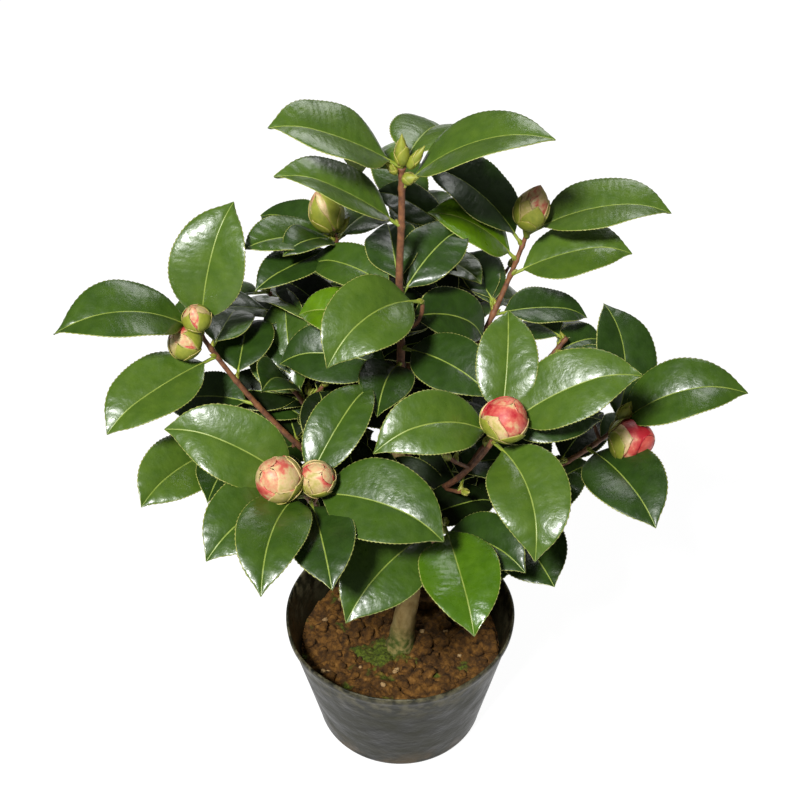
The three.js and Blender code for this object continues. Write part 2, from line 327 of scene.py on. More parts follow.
class Shape:
    """The points and faces of one mesh, gathered from many small shapes."""

    def __init__(self):
        self.points = []
        self.tints = []
        self.faces = []
        self.count = 0

    def add_points(self, points, tint=0.0):
        """Adds points, each with a place on its material's ramp of colours."""
        points = np.asarray(points, float).reshape(-1, 3)
        first = self.count
        self.points.append(points)
        self.tints.append(np.broadcast_to(np.ravel(tint), len(points)))
        self.count += len(points)
        return first

    def add_faces(self, corners, slots, uvs):
        """corners is faces by corners; slots one number or one a face; uvs one pair a corner."""
        corners = np.asarray(corners)
        slots = np.broadcast_to(slots, len(corners))
        self.faces.append((corners, slots, np.asarray(uvs, float).reshape(-1, 2)))

    def add_closed(self, rings, slot, cell, tint=0.0):
        """Adds a table of points, one row a ring, as a skin that its first and last ring close."""
        rings = np.asarray(rings, float)
        rows, columns = rings.shape[:2]
        indices = self.add_points(rings, tint) + np.arange(rows * columns).reshape(rows, columns)
        self.add_faces(grid(indices, closed=True), slot, cell_uvs(rows - 1, columns, cell))
        middle = (cell[0] + cell[2] / 2, cell[1] + cell[3] / 2)
        for ring in (indices[0][::-1], indices[-1]):
            self.add_faces(ring[None, :], slot, np.tile(middle, (columns, 1)))

    def piece(self, name, materials, replaces=()):
        """Makes the Blender object, riding on the plant's one body."""
        loops = np.concatenate([corners.ravel() for corners, _, _ in self.faces])
        sizes = np.concatenate([np.full(len(c), c.shape[1]) for c, _, _ in self.faces])
        mesh = bpy.data.meshes.new(name)
        mesh.vertices.add(self.count)
        mesh.vertices.foreach_set("co", (np.concatenate(self.points) * MM).ravel())
        mesh.loops.add(len(loops))
        mesh.loops.foreach_set("vertex_index", loops)
        mesh.polygons.add(len(sizes))
        mesh.polygons.foreach_set("loop_start", np.concatenate(([0], np.cumsum(sizes)[:-1])))
        mesh.polygons.foreach_set("material_index", np.concatenate([s for _, s, _ in self.faces]))
        layer = mesh.uv_layers.new(name="OFBake")
        layer.data.foreach_set("uv", np.concatenate([uv for _, _, uv in self.faces]).ravel())
        for material in materials:
            mesh.materials.append(material)
        tints = np.concatenate(self.tints)
        if tints.any():
            mesh.attributes.new("tint", "FLOAT", "POINT").data.foreach_set("value", tints)
        mesh.update(calc_edges=True)
        mesh.shade_smooth()
        made = bpy.data.objects.new(name, mesh)
        bpy.context.scene.collection.objects.link(made)
        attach(made, "root")
        if replaces:
            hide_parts(*replaces)


def grid(indices, closed=False):
    """The quads between the rows and columns of a table of point numbers."""
    if closed:
        indices = np.concatenate((indices, indices[:, :1]), axis=1)
    quads = (indices[:-1, :-1], indices[:-1, 1:], indices[1:, 1:], indices[1:, :-1])
    return np.stack(quads, -1).reshape(-1, 4)


def cell_uvs(rows, columns, cell):
    """Corner UVs that spread a grid's quads over a cell (left, bottom, width, height)."""
    left, bottom, width, height = cell
    u, v = np.meshgrid(np.linspace(0, 1, columns + 1), np.linspace(0, 1, rows + 1))
    table = np.stack((left + width * u, bottom + height * v), -1)
    corners = (table[:-1, :-1], table[:-1, 1:], table[1:, 1:], table[1:, :-1])
    return np.stack(corners, 2).reshape(-1, 4, 2)


WHOLE_SHEET = (0, 0, 1, 1)
CELL_PAD = 0.04


def cells(count):
    """The cells of a square sheet that holds that many shapes, with a gap between them."""
    across = math.ceil(math.sqrt(count))
    size = 1 / across
    inner = (1 - 2 * CELL_PAD) * size
    for i in range(count):
        row, column = divmod(i, across)
        yield ((column + CELL_PAD) * size, (row + CELL_PAD) * size, inner, inner)


def part_of(cell, left, width):
    """An upright strip of a cell."""
    return (cell[0] + cell[2] * left, cell[1], cell[2] * width, cell[3])


def add_tube(shape, centres, radii, slot, cell, sides, tint=0.0):
    """A closed round limb. radii is one number a ring, or one a ring and side."""
    centres = np.asarray(centres, float)
    radii = np.asarray(radii, float)
    if radii.ndim == 1:
        radii = np.repeat(radii[:, None], sides, axis=1)
    ways = np.gradient(centres, axis=0)
    ways /= np.linalg.norm(ways, axis=1)[:, None]
    across = unit(np.cross(ways[0], ASKEW))
    turns = np.linspace(0, 2 * math.pi, sides, endpoint=False)
    rings = []
    for centre, radius, way in zip(centres, radii, ways):
        across = unit(across - way * (across @ way))
        other = np.cross(way, across)
        spokes = np.outer(np.cos(turns), across) + np.outer(np.sin(turns), other)
        rings.append(centre + spokes * radius[:, None])
    shape.add_closed(rings, slot, cell, tint)


def egg(share, widest, taper):
    """The radius of an egg of radius 1, at each share of its length."""
    low = 1 - np.clip((widest - share) / widest, 0, 1) ** 2
    high = 1 - np.clip((share - widest) / (1 - widest), 0, 1) ** 1.8
    return np.sqrt(low) * high**taper


def add_scale(shape, bud, turn, half_turn, low, high, lift, tints, cell):
    """A sepal or petal: a thin shell over a bud's egg, closed, with a rounded end."""
    rows, columns = bud.grain
    v = np.linspace(0, 1, rows + 1)[:, None]
    u = np.linspace(-1, 1, columns + 1)[None, :]
    spread = np.sqrt(np.clip(1 - 0.98 * v**3, 0, 1)) * (0.7 + 0.3 * np.sin(math.pi * v))
    spread = math.radians(half_turn) * spread
    share = low + (high - low) * (v - 0.06 * u**2 * v)
    turns = math.radians(turn) + u * spread
    stand = (lift + 0.35 * v**2 + 0.25 * u) * bud.radius / 12 * (1 - share**6)
    outside = bud.radius * egg(share, *bud.form) + stand + 0.02
    rings = []
    for radius in (outside, np.maximum(outside - 0.05 * bud.radius, 0.01)):
        spokes = np.cos(turns)[..., None] * bud.across + np.sin(turns)[..., None] * bud.other
        rings.append(bud.base + spokes * radius[..., None] + bud.along * (share * bud.length)[..., None])
    table = np.concatenate((rings[0], rings[1][:, ::-1]), axis=1)
    shades = tints(u, v, table[:, : columns + 1])
    shape.add_closed(table, 0, cell, np.concatenate((shades, shades[:, ::-1]), axis=1))


# ---------------------------------------------------------------- materials


def linear(red, green, blue):
    """An sRGB colour, 0 to 255 a channel, as the shader's linear one."""
    parts = (channel / 255 for channel in (red, green, blue))
    return tuple(p / 12.92 if p <= 0.04045 else ((p + 0.055) / 1.055) ** 2.4 for p in parts) + (1.0,)


class Finish:
    """A procedural material on the principled shader, worked in the object's own millimetres."""

    def __init__(self, name, **sockets):
        self.material = bpy.data.materials.new(name)
        self.material.use_nodes = True
        self.nodes = self.material.node_tree.nodes
        self.links = self.material.node_tree.links
        self.shader = self.nodes["Principled BSDF"]
        for socket, value in sockets.items():
            self.shader.inputs[socket.replace("_", " ")].default_value = value
        self.coordinates = self.nodes.new("ShaderNodeTexCoord").outputs["Object"]

    def noise(self, size, detail=3.0, roughness=0.55, stretch=(1, 1, 1)):
        """Noise with features of that size in millimetres."""
        mapping = self.nodes.new("ShaderNodeMapping")
        mapping.inputs["Scale"].default_value = [1 / (size * MM * s) for s in stretch]
        self.links.new(self.coordinates, mapping.inputs["Vector"])
        texture = self.nodes.new("ShaderNodeTexNoise")
        texture.inputs["Scale"].default_value = 1
        texture.inputs["Detail"].default_value = detail
        texture.inputs["Roughness"].default_value = roughness
        self.links.new(mapping.outputs["Vector"], texture.inputs["Vector"])
        return texture.outputs["Fac"]

    def height(self, low, high):
        """0 below one height and 1 above the other, in millimetres."""
        split = self.nodes.new("ShaderNodeSeparateXYZ")
        self.links.new(self.coordinates, split.inputs["Vector"])
        return self.spread(split.outputs["Z"], low * MM, high * MM, 0, 1)

    def attribute(self, name):
        node = self.nodes.new("ShaderNodeAttribute")
        node.attribute_name = name
        return node.outputs["Fac"]

    def spread(self, value, low, high, to_low, to_high):
        node = self.nodes.new("ShaderNodeMapRange")
        for socket, number in zip(("From Min", "From Max", "To Min", "To Max"), (low, high, to_low, to_high)):
            node.inputs[socket].default_value = number
        self.links.new(value, node.inputs["Value"])
        return node.outputs["Result"]

    def times(self, a, b):
        return self.math("MULTIPLY", a, b)

    def math(self, operation, a, b):
        node = self.nodes.new("ShaderNodeMath")
        node.operation = operation
        self.links.new(a, node.inputs[0])
        if isinstance(b, float):
            node.inputs[1].default_value = b
        else:
            self.links.new(b, node.inputs[1])
        return node.outputs["Value"]

    def ramp(self, value, *stops):
        """Colours along a value, from (place, sRGB colour) stops."""
        node = self.nodes.new("ShaderNodeValToRGB")
        points = node.color_ramp.elements
        while len(points) < len(stops):
            points.new(0.5)
        for point, (place, shade) in zip(points, stops):
            point.position = place
            point.color = linear(*shade)
        self.links.new(value, node.inputs["Fac"])
        return node.outputs["Color"]

    def mix(self, value, a, b):
        """a where the value is 0 and b where it is 1. Each is another colour's socket or sRGB."""
        node = self.nodes.new("ShaderNodeMix")
        node.data_type = "RGBA"
        self.links.new(value, node.inputs["Factor"])
        for socket, shade in (("A", a), ("B", b)):
            target = next(s for s in node.inputs if s.name == socket and s.type == "RGBA")
            if isinstance(shade, tuple):
                target.default_value = linear(*shade)
            else:
                self.links.new(shade, target)
        return next(s for s in node.outputs if s.type == "RGBA")

    def color(self, value):
        self.links.new(value, self.shader.inputs["Base Color"])

    def roughness(self, value):
        self.links.new(value, self.shader.inputs["Roughness"])

    def relief(self, *layers):
        """Bump from (value, depth in millimetres) layers."""
        normal = None
        for value, depth in layers:
            node = self.nodes.new("ShaderNodeBump")
            node.inputs["Strength"].default_value = 1
            node.inputs["Distance"].default_value = depth * MM
            self.links.new(value, node.inputs["Height"])
            if normal:
                self.links.new(normal, node.inputs["Normal"])
            normal = node.outputs["Normal"]
        self.links.new(normal, self.shader.inputs["Normal"])


def leaf_material(name, shade, other, coat=0.15, specular=0.42, gloss=(0.27, 0.45)):
    """Leathery leaf skin: two close shades in soft patches, glossy with duller patches."""
    finish = Finish(name, Coat_Weight=coat, Coat_Roughness=0.14, Specular_IOR_Level=specular)
    patches = finish.noise(9, detail=4)
    finish.color(finish.ramp(patches, (0.32, shade), (0.68, other)))
    finish.roughness(finish.spread(finish.noise(5, detail=3), 0.3, 0.7, *gloss))
    swells, ripples, pores = finish.noise(5, detail=2), finish.noise(1.9, detail=3), finish.noise(0.7)
    finish.relief((swells, 0.3), (ripples, 0.16), (pores, 0.03))
    return finish.material


def plain_material(name, shade, other, patch, roughness, relief=0.03, grain=0.6):
    """Two close shades in patches of that size in millimetres, over a fine grain."""
    finish = Finish(name)
    finish.color(finish.ramp(finish.noise(patch), (0.35, shade), (0.65, other)))
    finish.roughness(finish.spread(finish.noise(patch), 0.3, 0.7, *roughness))
    finish.relief((finish.noise(grain, detail=4), relief))
    return finish.material


# Leaf greens. The near-black 'shade' tint is painted shade, for leaves in the crown's dark inside. 'deep' is
# partly the darker green of older leaves and partly painted shade. The lime tint is painted light: a glow on
# blades that light falls on or shines through, and on one that would lie in shade. 'mid' and 'olive' are the
# leaves' own greens, with a little blue in them as painted sheen; 'bright' is a glossier green.
LEAF_TINTS = {
    "shade": leaf_material("leaf_painted_shade", (12, 22, 3), (18, 31, 5), 0.03, 0.16, (0.4, 0.55)),
    "deep": leaf_material("leaf_deep", (27, 47, 9), (37, 59, 14), 0.09, 0.3, (0.32, 0.48)),
    "mid": leaf_material("leaf_mid", (41, 64, 12), (52, 75, 17)),
    "olive": leaf_material("leaf_olive", (54, 77, 19), (66, 88, 24)),
    "lime_painted_light": leaf_material("leaf_lime_painted_light", (64, 94, 2), (78, 109, 5)),
    "bright": leaf_material("leaf_bright", (52, 82, 8), (64, 94, 14), coat=0.35, gloss=(0.2, 0.38)),
}
LEAF_PARTS = {
    "midrib": plain_material("leaf_midrib", (100, 117, 42), (118, 132, 56), 6, (0.35, 0.5)),
    "margin": plain_material("leaf_margin", (114, 125, 46), (150, 150, 85), 1.6, (0.4, 0.6)),
    "underside": plain_material("leaf_underside", (82, 100, 44), (96, 112, 55), 7, (0.5, 0.65)),
    "petiole": plain_material("leaf_petiole", (109, 125, 36), (130, 141, 50), 5, (0.4, 0.55)),
}
LEAF_MATERIALS = list(LEAF_TINTS.values()) + list(LEAF_PARTS.values())
LEAF_SLOTS = {name: i for i, name in enumerate(list(LEAF_TINTS) + list(LEAF_PARTS))}

# ---------------------------------------------------------------- leaves

# A blade's teeth and the rows of its mesh, its petiole's length on a leaf of that reach, its
# thickness, and the widths of its pale edge and of half its midrib.
BLADE = dict(
    teeth=28, rows_a_tooth=3, tooth=0.5, petiole=9, reach=78, thickness=0.45, edge=0.26, midrib=0.38
)

# Places along a blade, as shares of its length, and its half width there as a share of the greatest.
OUTLINE = (
    (0.0, 0.04, 0.12, 0.26, 0.43, 0.60, 0.76, 0.87, 0.94, 1.0),
    (0.05, 0.22, 0.56, 0.88, 1.0, 0.95, 0.74, 0.45, 0.19, 0.01),
)

# Where a blade's mesh has its columns: above, as shares of the way from the midrib's edge to the
# pale edge, and below, as shares of the half width.
TOP_SHARES = np.array((0.0, 0.08, 0.27, 0.48, 0.68, 0.86, 1.0))
UNDER_SHARES = np.array((-0.85, -0.5, -0.12, 0.0, 0.12, 0.5, 0.85))


def top_columns(half):
    """Distances from the midrib, one row a ring: midrib edge, blade, the start of the pale edge."""
    inner = np.minimum(BLADE["midrib"] * (0.4 + 0.6 * np.minimum(half / 10, 1)), 0.3 * half)
    outer = half - np.minimum(BLADE["edge"], 0.3 * half)
    return inner[:, None] + (outer - inner)[:, None] * TOP_SHARES[None, :]


def blade_height(x, half, along, length, form):
    """How high the blade's upper side stands over its midrib's line."""
    share = np.clip(np.abs(x) / half, 0, 1)
    fold = np.tan(form.fold) * np.abs(x) * (1 - 0.5 * share)
    wave = form.wave * share**2 * np.sin(2 * math.pi * (form.waves * along + form.phase * np.sign(x)))
    vein = (along * length - 0.62 * np.abs(x) - 0.012 * x**2) / form.vein_pitch
    fade = np.clip(share / 0.12, 0, 1) * np.clip((1 - share) / 0.25, 0, 1)
    fade = fade * np.clip(along / 0.08, 0, 1) * np.clip((1 - along) / 0.12, 0, 1)
    quilt = form.quilt * fade * (np.abs(np.sin(math.pi * vein)) ** 0.8 - 0.6)
    groove = -0.22 * np.exp(-((x / 0.7) ** 2))
    return fold + wave + quilt + groove


Form = namedtuple("Form", "fold wave waves phase vein_pitch quilt arch curl sweep twist")


def random_form(rng):
    return Form(
        fold=math.radians(rng.uniform(11, 23)),
        wave=rng.uniform(0.3, 1.3),
        waves=rng.uniform(1.2, 2.2),
        phase=rng.uniform(0, 1),
        vein_pitch=rng.uniform(7.5, 9),
        quilt=rng.uniform(0.3, 0.55),
        arch=rng.uniform(0.07, 0.12),
        curl=rng.uniform(0.03, 0.09),
        sweep=rng.uniform(-0.03, 0.03),
        twist=math.radians(rng.uniform(-10, 10)),
    )


def add_leaf(shape, leaf, form, cell):
    """One leaf from its seat on the twig: petiole, blade, pale toothed edge and underside."""
    base, way, reach = leaf.base, leaf.way, leaf.reach
    up = unit(leaf.face - way * (leaf.face @ way))
    side = np.cross(way, up)
    turn = math.radians(leaf.roll)
    up, side = up * math.cos(turn) + side * math.sin(turn), side * math.cos(turn) - up * math.sin(turn)

    lifted = unit(UP - way * (UP @ way))
    petiole = BLADE["petiole"] * reach / BLADE["reach"]
    length = reach - petiole

    def midline(run):
        """Points along the middle of petiole and blade, and the directions up and across there."""
        u = run / reach
        curled = np.clip((u - 0.7) / 0.3, 0, None)
        rise = form.arch * 4 * u * (1 - u) + form.curl * (u - curled**2)
        slope = form.arch * 4 * (1 - 2 * u) + form.curl * (1 - 2 * curled / 0.3)
        yaw = form.sweep * 4 * (1 - 2 * u)
        aside = form.sweep * 4 * u * (1 - u)
        middle = base + reach * (np.outer(u, way) + np.outer(rise, lifted) + np.outer(aside, side))
        along = way + np.outer(slope, lifted) + np.outer(yaw, side)
        along /= np.linalg.norm(along, axis=1)[:, None]
        normal = up - along * (along @ up)[:, None]
        normal /= np.linalg.norm(normal, axis=1)[:, None]
        across = np.cross(along, normal)
        tilt = form.twist * (u - 0.3)
        cos, sin = np.cos(tilt)[:, None], np.sin(tilt)[:, None]
        return middle, normal * cos + across * sin, across * cos - normal * sin

    rows = BLADE["teeth"] * BLADE["rows_a_tooth"]
    along = np.linspace(0, 1, rows + 1)
    half = leaf.width * length / 2 * smooth(*OUTLINE, along)
    half = np.maximum(half, 0.12)
    tooth = BLADE["tooth"] * np.tile((0.0, 0.5, 1.0), BLADE["teeth"] + 1)[: rows + 1]
    tooth = tooth * np.clip(half / 4 - 0.25, 0, 1)
    columns = top_columns(half)
    right = np.concatenate((columns, (half + tooth)[:, None]), axis=1)
    x = np.concatenate((-right[:, ::-1], np.zeros((rows + 1, 1)), right), axis=1)
    middle, normal, across = midline(petiole + along * length)

    def place(x, height):
        return middle[:, None] + across[:, None] * x[..., None] + normal[:, None] * height[..., None]

    height = blade_height(x, half[:, None], along[:, None], length, form)
    height[:, (0, -1)] -= BLADE["thickness"] / 2
    top = shape.add_points(place(x, height))
    top = top + np.arange(x.size).reshape(x.shape)

    under_x = half[:, None] * UNDER_SHARES[None, :]
    thickness = np.minimum(BLADE["thickness"], half / 2)[:, None]
    rib = np.minimum(0.9, half / 2)[:, None] * np.exp(-((UNDER_SHARES / 0.06) ** 2))[None, :]
    under_height = blade_height(under_x, half[:, None], along[:, None], length, form) - thickness - rib
    under = shape.add_points(place(under_x, under_height))
    under = under + np.arange(under_x.size).reshape(under_x.shape)
    under = np.concatenate((top[:, :1], under, top[:, -1:]), axis=1)

    strips = x.shape[1] - 1
    slots = np.full(strips, LEAF_SLOTS[leaf.tint])
    slots[[0, -1]] = LEAF_SLOTS["margin"]
    slots[[strips // 2 - 1, strips // 2]] = LEAF_SLOTS["midrib"]
    shape.add_faces(grid(top), np.tile(slots, rows), cell_uvs(rows, strips, part_of(cell, 0, 0.5)))
    flipped = grid(under)[:, ::-1]
    under_uvs = cell_uvs(rows, under.shape[1] - 1, part_of(cell, 0.53, 0.33))[:, ::-1]
    shape.add_faces(flipped, LEAF_SLOTS["underside"], under_uvs)
    for end in (0, -1):
        loop = np.concatenate((top[end], under[end][-2:0:-1]))
        if end == 0:
            loop = loop[::-1]
        corner = np.array((cell[0] + cell[2] * 0.95, cell[1]))
        shape.add_faces(loop[None, :], LEAF_SLOTS["petiole"], np.tile(corner, (len(loop), 1)))

    run = np.linspace(0, petiole + 7, 9)
    stalk, stalk_normal, _ = midline(run)
    drop = 0.75 * np.clip(run / petiole, 0, 1)
    stalk = stalk - stalk_normal * drop[:, None]
    radii = smooth((0, 0.12, 0.5, 0.8, 1), (1.7, 1.3, 1.05, 0.85, 0.35), run / run[-1])
    add_tube(shape, stalk, radii, LEAF_SLOTS["petiole"], part_of(cell, 0.9, 0.1), sides=8)


# ---------------------------------------------------------------- how the plant grows

rng = random.Random()
trunk_line = through(TRUNK_PATH)


def reseed(serial):
    """Starts a shoot's own run of chance, so that no shoot's growth changes another's."""
    rng.seed(SEED * 1000 + serial)


# Added to a shoot's serial number, for the run of chance of its side twigs and of its leaves' forms.
TWIG_RUN, FORM_RUN = 100, 200


def trunk_at(height):
    return trunk_line.at(np.interp(height, trunk_line.points[:, 2], trunk_line.run))


def bough_line(shoot):
    """A bough leaves the trunk flat and turns up to its tip. The leader goes straight on."""
    tip = np.array(shoot.tip, float)
    if shoot.fork is None:
        return through((trunk_line.points[-6], (0.6, 0.3, 340), (-0.4, 0, 385), (0.8, 0, 425), tip))
    fork = trunk_at(shoot.fork)
    run, rise = BOUGH["fork_run"], BOUGH["fork_rise"]
    middle = fork + (tip - fork) * np.array((run, run, rise))
    return bend(fork, middle, tip)


# A leaf ready to be made: its seat on a twig, its chord, and the rest of its looks.
Seated = namedtuple("Seated", "base way reach roll width tint face arch sweep", defaults=(None, None))


def pick_tint(chances):
    return rng.choices(list(chances), weights=list(chances.values()))[0]


# How often a leaf with no tint of its own gets each one. The darker picks round the leader's foot are partly
# painted shade, and the near-black picks inside the crown are painted shade.
OUTER_TINTS = {"mid": 6, "olive": 5}
CENTRE_TINTS = {"deep": 3, "mid": 2}
INNER_TINTS = {"shade": 9, "deep": 3}


def listed_leaves(line, leaves, lean, tints=OUTER_TINTS):
    face = heading(-90, 90 - lean)
    for leaf in leaves:
        base = line.at(line.length - leaf.back)
        tint = leaf.tint or pick_tint(tints)
        way = heading(leaf.azimuth, leaf.elevation)
        roll = leaf.roll + rng.uniform(-6, 6)
        yield Seated(base, way, leaf.reach, roll, leaf.width, tint, face, leaf.arch, leaf.sweep)


def spiral_leaves(line, reach, serial):
    """A hidden shoot's leaves. One that would close an opening of the crown hangs lower."""
    for i in range(SPIRAL["leaves"]):
        base = line.at(line.length - SPIRAL["spacing"] * i)
        azimuth = SPIRAL["start"] * serial + SPIRAL["turn"] * i
        elevation = SPIRAL["elevation"] - SPIRAL["fall"] * i
        length = reach - rng.uniform(0, 6)
        width = rng.uniform(0.58, 0.64)
        roll = rng.uniform(-10, 10)
        tint = pick_tint(OUTER_TINTS)
        face = heading(azimuth, 90 - SPIRAL["lean"])
        for droop in DROOPS:
            chord = line.points[-1] + heading(azimuth, elevation - droop) * length - base
            leaf = Seated(base, unit(chord), np.linalg.norm(chord), roll, width, tint, face)
            if leaves_sky(leaf):
                yield leaf
                break


def side_twigs(line, serial):
    """Short twigs off a bough, one turn of the spiral apart, each with its own leaves."""
    for i in range(SIDE["twigs"]):
        share = SIDE["first"] + (SIDE["last"] - SIDE["first"]) * i / (SIDE["twigs"] - 1)
        run = line.length * (share + rng.uniform(-0.04, 0.04))
        base = line.at(run)
        azimuth = SPIRAL["start"] * serial + SPIRAL["turn"] * i + rng.uniform(-20, 20)
        way = unit(line.heading(run) * 0.6 + heading(azimuth, SIDE["rise"]))
        end = base + way * SIDE["length"] * rng.uniform(0.7, 1.2)
        middle = base + (end - base) * 0.5 - UP * rng.uniform(1, 3)
        yield bend(base, middle, end, samples=16)


def twig_leaves(line, serial):
    for i in range(SIDE["leaves"]):
        base = line.at(line.length - SIDE["spacing"] * i)
        azimuth = SPIRAL["start"] * serial + SPIRAL["turn"] * i + rng.uniform(-15, 15)
        elevation = rng.uniform(-8, 26)
        reach = SIDE["reach"] * rng.uniform(0.82, 1.08)
        way = heading(azimuth, elevation)
        width = rng.uniform(0.56, 0.64)
        yield Seated(base, way, reach, rng.uniform(-14, 14), width, pick_tint(INNER_TINTS), heading(-90, 70))


def well_inside(leaf):
    """True if a leaf of the inside stays within the plant's body and clear of the open pot."""
    x, y, z = leaf.base + leaf.way * leaf.reach
    return y > ROOM["front"] and np.hypot(x, y) < ROOM["away"] and ROOM["low"] < z < ROOM["high"]


def sighted(points):
    """Where points show in the upright plane through the trunk, seen from EYE, and how far off."""
    rays = np.asarray(points, float) - EYE
    spots = EYE + rays * (-EYE[1] / rays[:, 1])[:, None]
    return spots[:, (0, 2)], np.linalg.norm(rays, axis=1)


def blade_spots(leaf):
    """Points along a leaf and half its width at each."""
    shares = np.linspace(0.2, 1, 9)
    rise = 0.36 * shares * (1 - shares) * leaf.reach
    points = leaf.base + np.outer(shares, leaf.way) * leaf.reach + UP * rise[:, None]
    return points, leaf.width * leaf.reach * 0.45 * np.sin(math.pi * np.clip(shares - 0.1, 0, 1)) ** 0.6


def leaves_sky(leaf):
    """True if a leaf closes no opening of the crown."""
    points, halves = blade_spots(leaf)
    spots, _ = sighted(points)
    return not any(
        (np.hypot(spots[:, 0] - x, spots[:, 1] - z) < halves + radius).any() for x, z, radius in OPENINGS
    )


def leaves_clear(leaf, shown):
    """True if a leaf covers nothing that shows."""
    points, halves = blade_spots(leaf)
    spots, ranges = sighted(points)
    places, distances = sighted(shown)
    gaps = np.hypot(spots[:, None, 0] - places[None, :, 0], spots[:, None, 1] - places[None, :, 1])
    return not ((gaps < halves[:, None] + 3) & (ranges[:, None] < distances[None, :] - 4)).any()


def grow_shoots():
    """The leaves of each shoot, and those round the leader's foot and on its spur."""
    leaves = {}
    for serial, (name, line) in enumerate(boughs.items()):
        reseed(serial)
        if SHOOTS[name].leaves:
            leaves[name] = list(listed_leaves(line, SHOOTS[name].leaves, SHOOTS[name].lean))
        else:
            leaves[name] = list(spiral_leaves(line, SHOOT_REACH[name], serial))
    leaves["centre"] = list(listed_leaves(boughs["top"], CENTRE_LEAVES, CENTRE_LEAN, CENTRE_TINTS))
    leaves["centre"] += listed_leaves(spur, SPUR_LEAVES, CENTRE_LEAN)
    return leaves


def shown_places(leaves):
    """Places that side leaves keep clear: the middles of listed leaves, and stretches of boughs."""
    listed = [leaf for name in leaves if name not in SHOOT_REACH for leaf in leaves[name]]
    places = [leaf.base + leaf.way * leaf.reach * 0.55 for leaf in listed]
    for name, share in SHOWN_BOUGHS.items():
        places += list(boughs[name].at(np.linspace(share, 1, 9) * boughs[name].length))
    return places


def grow_side_twigs(leaves):
    """The side twigs of each bough that bear a leaf. Their leaves join those of the bough."""
    shown = shown_places(leaves)
    twigs = {name: [] for name in boughs}
    for serial, (name, line) in enumerate(boughs.items()):
        if name == "top":
            continue
        reseed(TWIG_RUN + serial)
        for order, twig in enumerate(side_twigs(line, serial)):
            grown = twig_leaves(twig, serial + 3 * order)
            kept = [
                leaf for leaf in grown
                if well_inside(leaf) and leaves_sky(leaf) and leaves_clear(leaf, shown)
            ]
            if kept:
                twigs[name].append(twig)
                leaves[name] += kept
    return twigs


def make_leaves(leaves):
    for serial, (name, seated) in enumerate(leaves.items()):
        reseed(FORM_RUN + serial)
        shape = Shape()
        for leaf, cell in zip(seated, cells(len(seated))):
            form = random_form(rng)
            if leaf.arch:
                form = form._replace(arch=leaf.arch)
            if leaf.sweep:
                form = form._replace(sweep=leaf.sweep)
            add_leaf(shape, leaf, form, cell)
        shape.piece(f"leaves_{name}", LEAF_MATERIALS, [f"foliage_{name}"])


boughs = {name: bough_line(shoot) for name, shoot in SHOOTS.items()}
spur_foot, spur_tip = np.array(SPUR["foot"], float), np.array(SPUR["tip"], float)
spur = bend(spur_foot, spur_tip - UP * SPUR["sag"], spur_tip)
leaves = grow_shoots()
twigs = grow_side_twigs(leaves)
for name, filling in SHADE_LEAVES.items():
    leaves[name] += listed_leaves(boughs[name], filling, SHOOTS[name].lean)
make_leaves(leaves)

# ---------------------------------------------------------------- buds


def bud_material():
    """Bud skin, from green by cream to red along the mesh's tint, a little mottled."""
    finish = Finish("bud_skin", Specular_IOR_Level=0.4)
    mottle = finish.spread(finish.noise(2.4, detail=4), 0.3, 0.7, -0.09, 0.09)
    finish.color(finish.ramp(
        finish.math("ADD", finish.attribute("tint"), mottle),
        (0.0, (99, 109, 28)),
        (0.25, (129, 131, 42)),
        (0.42, (150, 138, 74)),
        (0.55, (180, 156, 112)),
        (0.72, (174, 82, 68)),
        (0.92, (150, 20, 32)),
    ))
    finish.roughness(finish.spread(finish.noise(3), 0.3, 0.7, 0.42, 0.6))
    finish.relief((finish.noise(0.8), 0.04))
    return finish.material


BUD_SKIN = bud_material()
BUD_ASKEW = (0.31, 0.95, 0.17)  # a way that no bud points along, from which their turns are taken

# A bud in place: its base, its own three directions, its egg, and the rows and columns of a scale.
Placed = namedtuple("Placed", "base along across other radius length form grain")


def placed(base, along, radius, length, form, grain):
    across = unit(np.cross(along, BUD_ASKEW))
    return Placed(base, along, across, np.cross(along, across), radius, length, form, grain)


def petal_tints(low, high, share, phase):
    """Cream, with streaks and blotches of a redder colour over about that share of it."""

    def shade(u, v, points):
        streaks = [[bump(x + phase, y, z, 12) for x, y, z in row] for row in points]
        spots = [[bump(x, y + phase, z, 4) for x, y, z in row] for row in points]
        uneven = np.array(streaks) + 0.5 * np.array(spots)
        blotch = np.clip(1.1 * share - 0.15 + 1.7 * uneven, 0, 1)
        rim = 0.1 * np.abs(u) ** 10 * np.ones_like(v)
        return low + (high - low) * blotch + rim

    return shade


def sepal_tints(u, v, points):
    """Green at the foot, paler above, with a thin tan rim."""
    return 0.02 + 0.17 * v * np.ones_like(u) + 0.28 * np.maximum(np.abs(u) ** 12, v**16)


def add_rows(shape, bud, rows, sheet):
    """Rows of scales, each row evenly round the bud."""
    for count, turn, half_turn, low, high, lift, tints in rows:
        for i in range(count):
            add_scale(shape, bud, turn + 360 / count * i, half_turn, low, high, lift, tints, next(sheet))


def add_core(shape, bud, tint, cell):
    """The egg that the scales wrap."""
    rings, sides = bud.grain
    shares = np.linspace(0.02, 0.985, rings)
    radii = bud.radius * egg(shares, *bud.form) * 0.97
    centres = bud.base + bud.along * (shares * bud.length)[:, None]
    add_tube(shape, centres, radii, 0, cell, sides, tint)


def seat(bud):
    """A bud's base and the way it points."""
    along = unit(np.array(bud.way, float))
    return np.array(SHOOTS[bud.shoot].tip) + np.array(bud.middle) - along * bud.length / 2, along


